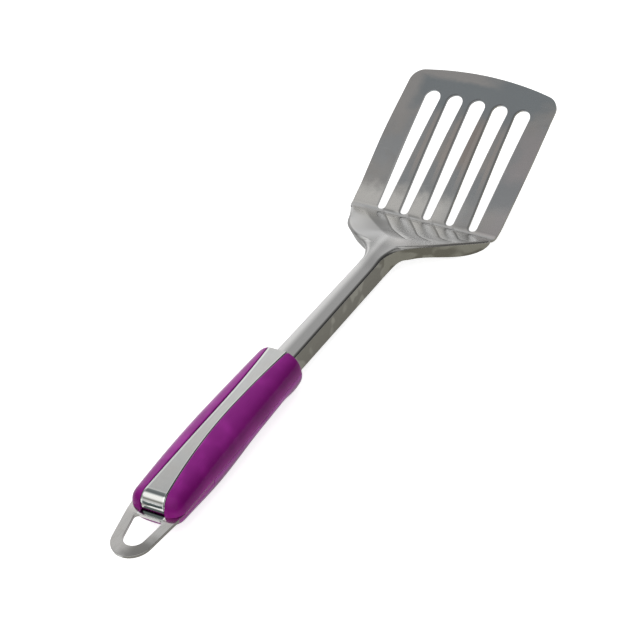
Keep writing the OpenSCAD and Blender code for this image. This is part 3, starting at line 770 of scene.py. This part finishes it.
def makeLoop(material):
    bend = layout["bendAt"]
    narrowing = rawHalf(grip["length"]) - loop["seat"] - loop["outer"]
    lean = asin(narrowing / (loop["reach"] + grip["buttRound"]))
    last = bend - grip["buttRound"]
    side = [(loop["tongue"], loop["front"]), (loop["tongue"], loop["neck"])]
    side += [(rawHalf(s) - loop["seat"], s) for s in [mixed(loop["flare"], last, i / 12) for i in range(13)]]
    side.append(((loop["outer"] + loop["reach"] * sin(lean)) / cos(lean), bend))
    arc = [mixed(lean, pi - lean, i / 48) for i in range(49)]
    turn = [(loop["outer"] * cos(a), bend + loop["reach"] + loop["outer"] * sin(a)) for a in arc]
    bm = bmesh.new()
    edges = addOutline(bm, side + turn + [(-x, s) for x, s in reversed(side)])
    cornerX, cornerS = loop["eyeHalf"] - loop["eyeCorner"], bend + loop["eyeBack"] + loop["eyeCorner"]
    edges += addOutline(bm, roundOutline([(cornerX, cornerS, loop["eyeCorner"]),
                                          (0, bend + loop["eyeReach"], loop["eyeRadius"]),
                                          (-cornerX, cornerS, loop["eyeCorner"])], 16))
    bmesh.ops.triangle_fill(bm, edges=edges, use_beauty=True, normal=(0, 0, 1))
    half = loop["bendSpan"] / 2
    cutAcross(bm, [bend + step for step in (-half, -1.6, -0.8, 0, 0.8, 1.6, half)], (0, 1, 0))
    thicken(bm, loop["thick"], loop["edge"], 3)
    for v in bm.verts:
        v.co = droop(v.co, bend - half)
    bmesh.ops.reverse_faces(bm, faces=bm.faces)
    finishPiece(bm, "loopPlate", toGrip, material, ["hang_loop_plate"], weighted=True)


# The two halves of the grip

def ellipsePoint(half, height, angle):
    power = 2 / grip["power"]
    return half * max(cos(angle), 0) ** power, height * max(sin(angle), 0) ** power


def ellipseHeight(half, height, x):
    share = min(abs(x) / half, 1)
    return height * max(1 - share ** grip["power"], 0) ** (1 / grip["power"])


def angleAtX(half, x):
    return acos(min(max(x / half, 0), 1) ** (grip["power"] / 2))


def angleAtHeight(height, h):
    return asin(min(max(h / height, 0), 1) ** (grip["power"] / 2))


def gripStations(length, finish, extra):
    places = [grip["frontRound"] * (1 - cos(pi / 2 * i / 9)) for i in range(10)]
    places += [mixed(grip["frontRound"], length - finish, i / 64) for i in range(1, 64)]
    places += [length - finish * (1 - sin(pi / 2 * i / 16)) for i in range(17)]
    return sorted(places + extra)


grooveEnd = strip["rollS"] + strip["roll"] - strip["thick"]


def grooveHalf(s):
    return stripHalf(min(s, grooveEnd)) + strip["gap"]


def upperRing(s, floorDown):
    front = endShare(s, grip["frontRound"], grip["frontShare"])
    away = grip["length"] - s
    half = rawHalf(s) * front * endShare(away, grip["buttRound"], grip["sideShare"])
    rise = rawRise(s) * front * endShare(away, grip["buttRound"], grip["topShare"])
    seam, wallX = grip["seam"], grooveHalf(s)
    rimX = min(wallX + grip["rim"], half - seam - 0.05)
    wallX = min(wallX, rimX - 0.05)
    start, finish = angleAtHeight(rise, seam), angleAtX(half, rimX)
    side = [(half - seam, 0), (half - 0.3 * seam, 0.3 * seam)]
    side += [ellipsePoint(half, rise, mixed(start, finish, i / 28)) for i in range(29)]
    rimTop = ellipseHeight(half, rise, rimX)
    peak = ellipseHeight(half, rise, wallX)
    for t in (0.25, 0.5, 0.75, 1):
        side.append((mixed(mixed(rimX, wallX, t), wallX, t),
                     mixed(mixed(rimTop, peak, t), mixed(peak, peak - grip["rim"], t), t)))
    floorS = min(s, grooveEnd)
    floor = 0 if floorDown else stripHeight(floorS, strip["thick"])
    ring = [(x, s, h) for x, h in side]
    ring.append((wallX, s, min(floor, side[-1][1])))
    for x in (wallX - 0.01, wallX / 2, 0):
        ring.append((x, floorS, min(floor, ellipseHeight(half, rise, x))))
    under = [(0, floorS, 0), (wallX - 0.01, floorS, 0), (wallX, s, 0), (half - seam, s, 0)]
    left = [(-x, b, h) for x, b, h in reversed(ring[:-1])]
    return ring + left + [(-x, b, h) for x, b, h in reversed(under[1:])] + under


def lowerRing(s, topH):
    front = endShare(s, grip["frontRound"], grip["frontShare"])
    away = grip["length"] + grip["step"] - s
    half = rawHalf(s) * front * endShare(away, grip["buttRound"], grip["sideShare"])
    depth = rawDepth(s) * front * endShare(away, grip["bellyRound"], grip["underShare"])
    seam = grip["seam"]
    start = angleAtHeight(depth, seam - topH)
    topX = ellipsePoint(half, depth, angleAtHeight(depth, max(-topH, 0.0001)))[0]
    side = [(topX - seam, topH), (topX - 0.3 * seam, topH - 0.3 * seam)]
    for i in range(31):
        x, h = ellipsePoint(half, depth, mixed(start, pi / 2, i / 30))
        side.append((x, -h))
    ring = [(x, s, h) for x, h in side] + [(-x, s, h) for x, h in reversed(side[:-1])]
    return ring + [(0, s, topH)]


def inGap(point):
    return abs(point.z) < 0.02 and -point.y > grooveEnd - 0.02 and abs(point.x) < grooveHalf(-point.y) + 0.02


def makeShell(name, rings, material, node):
    count = len(rings[0])
    bm = bmesh.new()

    def place(column, row):
        x, s, h = rings[row][column % count]
        return Vector((x, -s, h))

    addGrid(bm, count, len(rings) - 1, place)
    cleanUp(bm)
    gap = [f for f in bm.faces if all(inGap(v.co) for v in f.verts)]  # where the groove runs out at the back
    bmesh.ops.delete(bm, geom=gap, context="FACES")
    bmesh.ops.holes_fill(bm, edges=[e for e in bm.edges if e.is_boundary], sides=0)
    bmesh.ops.recalc_face_normals(bm, faces=bm.faces)
    finishPiece(bm, name, toGrip, material, [node], smoothAngle=50)


def makeGrip(upperMaterial, lowerMaterial):
    places = gripStations(grip["length"], grip["buttRound"], [grooveEnd])
    rings = []
    for s in places:
        rings.append(upperRing(s, s > grooveEnd))
        if s == grooveEnd:
            rings.append(upperRing(s, True))
    makeShell("gripUpper", rings, upperMaterial, "upper_grip")
    edge = grip["plateLine"]
    places = gripStations(grip["length"] + grip["step"], grip["bellyRound"], [edge])
    rings = []
    for s in places:
        rings.append(lowerRing(s, -loop["thick"] if s > edge else 0))
        if s == edge:
            rings.append(lowerRing(s + 0.01, -loop["thick"]))
    makeShell("gripLower", rings, lowerMaterial, "lower_grip")


# The metal strip along the top of the grip

def makeStrip(material):
    path = [(s, stripHeight(s, 0)) for s in [strip["rollStart"] * i / 60 for i in range(61)]]
    start = atan2(strip["rollStart"] - strip["rollS"], path[-1][1] - strip["rollH"])
    path += [(strip["rollS"] + strip["roll"] * sin(a), strip["rollH"] + strip["roll"] * cos(a))
             for a in [mixed(start, pi / 2, i / 44) for i in range(1, 45)]]
    path.append((path[-1][0], strip["end"]))
    bm = bmesh.new()

    def place(column, row):
        s, h = path[row]
        return Vector((stripHalf(s) * (column / 4 - 1), -s, h))

    addGrid(bm, 8, len(path) - 1, place)
    thicken(bm, strip["thick"], strip["edge"], 2)
    finishPiece(bm, "trimStrip", toGrip, material, ["trim_strip"], weighted=True)


# rollPale, roll, rollLine and rollDark are painted reflections on the roll, cutEdge painted highlights on the
# cut edges, gap a painted shadow in the gap
stripLook = dict(steelLook, fold=(0.5, 0.5, 0.49), foldWall=(0.5, 0.5, 0.49), foldLeft=(0.5, 0.5, 0.49),
                 side=(0.3, 0.31, 0.3), sideGlint=(0.3, 0.31, 0.3), sideLeft=(0.3, 0.31, 0.3), sideFrom=0.5,
                 cool=(0.54, 0.55, 0.54), warm=(0.56, 0.56, 0.54), brown=(0.52, 0.51, 0.49), rough=0.34,
                 grainTone=0.22, grainRough=0.16, grainDepth=0.003, grainStretch=(5.0, 0.12, 5.0),
                 scuffStretch=(3.0, 0.05, 3.0), rollPale=(0.76, 0.76, 0.74), roll=(0.30, 0.33, 0.325),
                 rollLine=(0.30, 0.30, 0.27), rollDark=(0.075, 0.095, 0.095), cutEdge=(0.86, 0.90, 0.87),
                 gap=(0.012, 0.010, 0.012))
# S is back along the grip, A in degrees round the roll, E in from the strip's edge
stripZones = dict(rollS=(97.4, 98.2), rollFromA=(6, 12), rollToA=(24, 34), lineA=(54, 0.8, 6),
                  darkA=(75, 3.5, 6.5), cutE=(0.90, 1.15), gapE=(0.52, 0.76), rightX=(-0.5, 0.5))


def stripPaintedLightAndRoughness(board, spot, tone, rough, height, side):
    look, at = stripLook, stripZones
    x, back, h = board.split(spot)
    s = 0 - back
    onRoll = s.step(*at["rollS"])
    # painted reflections round the roll: a pale band, a line and a dark band
    around = (s - strip["rollS"]).maths("ARCTAN2", s - strip["rollS"], h - strip["rollH"]) * (180 / pi)
    wave = (board.noise(board.stretched(spot, (1.0, 0.3, 0.3)), 0.35, 1, 0.5) - 0.5) * 8
    facing = around.step(*at["rollFromA"]) * (1 - around.step(*at["rollToA"]))
    shine = board.blend(facing, look["rollPale"], look["roll"])
    shine = board.painted(shine, look, [
        (around.line(*at["lineA"]), "rollLine"),
        ((around + wave + x.absolute() * 0.5).line(*at["darkA"]), "rollDark")])
    # a painted shadow line in the gap along the right edge and painted highlights on the cut edges beside it
    # and on the left
    spread = ((s - strip["waistAt"]) / strip["waistAt"]).power(2)
    edge = spread * (strip["front"] - strip["waist"]) + strip["waist"] - x.absolute()
    tone = board.painted(board.blend(onRoll, tone, shine), look, [
        ((1 - edge.step(*at["cutE"])) * 0.55, "cutEdge"),
        ((1 - edge.step(*at["gapE"])) * x.step(*at["rightX"]), "gap")])
    return tone, rough * (1 - onRoll) + onRoll * 0.09, height * (1 - onRoll), side


# Each piece with its material

bladeSteel = makeSteel("bladeSteel", steelLook, toTable, bladePaintedLightAndRoughness)
loopSteel = makeSteel("loopSteel", dict(
    steelLook, cool=(0.53, 0.53, 0.52), warm=(0.56, 0.55, 0.53), rough=0.14, fold=(0.45, 0.45, 0.43),
    foldWall=(0.45, 0.45, 0.43), foldLeft=(0.45, 0.45, 0.43), sideLeft=(0.30, 0.30, 0.28),
    side=(0.16, 0.155, 0.14), sideGlint=(0.20, 0.20, 0.18)), toGrip, loopPaintedLight)
stripSteel = makeSteel("stripSteel", stripLook, toGrip, stripPaintedLightAndRoughness)
zincPlate = makeSteel("zincPlate", dict(steelLook, rough=0.35, cool=(0.5, 0.51, 0.53),
                                        side=(0.4, 0.41, 0.43)), toTable)
gripPurple = makePlastic("gripPurple", plasticLook)
gripPurpleLow = makePlastic("gripPurpleLow", dict(plasticLook, seam=(0.54, 0.095, 0.50), rough=0.24))

makeHead(bladeSteel)
makeLoop(loopSteel)
makeGrip(gripPurple, gripPurpleLow)
makeStrip(stripSteel)

for name in ("grip_screw_front", "grip_screw_middle", "grip_screw_rear"):
    screw = frame["nodes"][name]
    for holder in ([screw] if screw.type == "MESH" else screw.children):
        for slotPlace in holder.material_slots:
            slotPlace.material = zincPlate


# The table, the light and the camera

studio = dict(floorSize=6.0, floorTone=(0.86, 0.86, 0.855), floorGlow=0.76, glossyShare=0.8,
              skyTop=0.40, skySide=0.32, skyRight=0.15,
              # soft patches of the surroundings: direction, where they end and begin as cosines, colour
              patches=[((-0.48, 0.64, 0.60), 0.76, 0.97, (0.22, 0.22, 0.215)),
                       ((-0.80, 0.58, 0.12), 0.66, 0.96, (0.80, 0.79, 0.80)),
                       ((-0.48, -0.50, 0.74), 0.90, 0.985, (0.75, 0.75, 0.72)),
                       ((-0.48, -0.86, 0.12), 0.90, 0.97, (0.35, 0.35, 0.35)),
                       ((0.30, -0.75, 0.60), 0.60, 0.95, (0.15, 0.15, 0.15))])

lamp = dict(place=(0.45, -1.0, 1.35), size=(2.6, 2.4), power=12.5)  # it faces the object's middle

camera = dict(place=(0.68233401, -0.89041651, 0.8885059), turn=(51.55315022, 7.75253374, 31.38527164),
              lens=177.93621333, sensor=36, farEnd=20)


def setTable():  # it glows for the camera, and a little less in reflections
    bm = bmesh.new()
    bmesh.ops.create_grid(bm, x_segments=1, y_segments=1, size=studio["floorSize"] / 2)
    mesh = bpy.data.meshes.new("tableTop")
    bm.to_mesh(mesh)
    bm.free()
    board = Board(bpy.data.materials.new("tablePaper"))
    ray = board.add("ShaderNodeLightPath", out="Is Camera Ray")
    seen = (ray.beside("Is Glossy Ray") * studio["glossyShare"]).atLeast(ray)
    seen = seen.atLeast(ray.beside("Is Transmission Ray"))
    tooth = board.noise(board.place(), 2.2, 4, 0.6)
    paper = board.add("ShaderNodeBsdfPrincipled", None, {
        "Base Color": (*studio["floorTone"], 1), "Roughness": 0.9, "Specular IOR Level": 0.1,
        "Normal": board.bump(tooth * 0.02, 0.3)})
    glow = board.add("ShaderNodeEmission", None, {
        "Color": (1, 1, 1, 1), "Strength": seen * studio["floorGlow"]})
    mesh.materials.append(board.show(board.add("ShaderNodeAddShader", None, {0: paper, 1: glow})))
    table = bpy.data.objects.new("tableTop", mesh)
    bpy.context.scene.collection.objects.link(table)


def setSky():
    world = bpy.data.worlds.new("studioSky")
    bpy.context.scene.world = world
    board = Board(world)
    way = board.add("ShaderNodeTexCoord", out="Generated")
    across, _, height = board.split(way)
    top, side, right = studio["skyTop"], studio["skySide"], studio["skyRight"]
    sky = board.blend(height.step(0.0, 0.8), (side, side, side), (top, top, top * 1.02))
    sky = board.blend(across.step(0.15, 0.6), sky, (right, right, right))
    for aim, low, high, colour in studio["patches"]:
        near = board.add("ShaderNodeVectorMath", dict(operation="DOT_PRODUCT"),
                         {0: way, 1: Vector(aim).normalized()}, out="Value")
        sky = board.add("ShaderNodeMix", dict(data_type="RGBA", blend_type="ADD"),
                        {0: near.step(low, high), 6: sky, 7: (*colour, 1)}, out=2)
    board.show(board.add("ShaderNodeBackground", None, {"Color": sky}), "ShaderNodeOutputWorld")


def addHolder(data, place, turn):
    holder = bpy.data.objects.new(data.name, data)
    holder.location, holder.rotation_euler = place, turn
    bpy.context.scene.collection.objects.link(holder)
    return holder


def setLight():
    light = bpy.data.lights.new("softFront", "AREA")
    light.shape = "RECTANGLE"
    light.size, light.size_y = lamp["size"]
    light.energy = lamp["power"]
    addHolder(light, lamp["place"], Vector(lamp["place"]).to_track_quat("Z", "Y").to_euler())


def setCamera():
    lens = bpy.data.cameras.new("photoCamera")
    lens.lens, lens.sensor_width, lens.clip_end = camera["lens"], camera["sensor"], camera["farEnd"]
    scene = bpy.context.scene
    scene.camera = addHolder(lens, camera["place"], [radians(a) for a in camera["turn"]])
    scene.view_settings.view_transform = "Standard"


def setStudio():
    setTable()
    setSky()
    setLight()
    setCamera()
    print("stage: studio set")


setStudio()
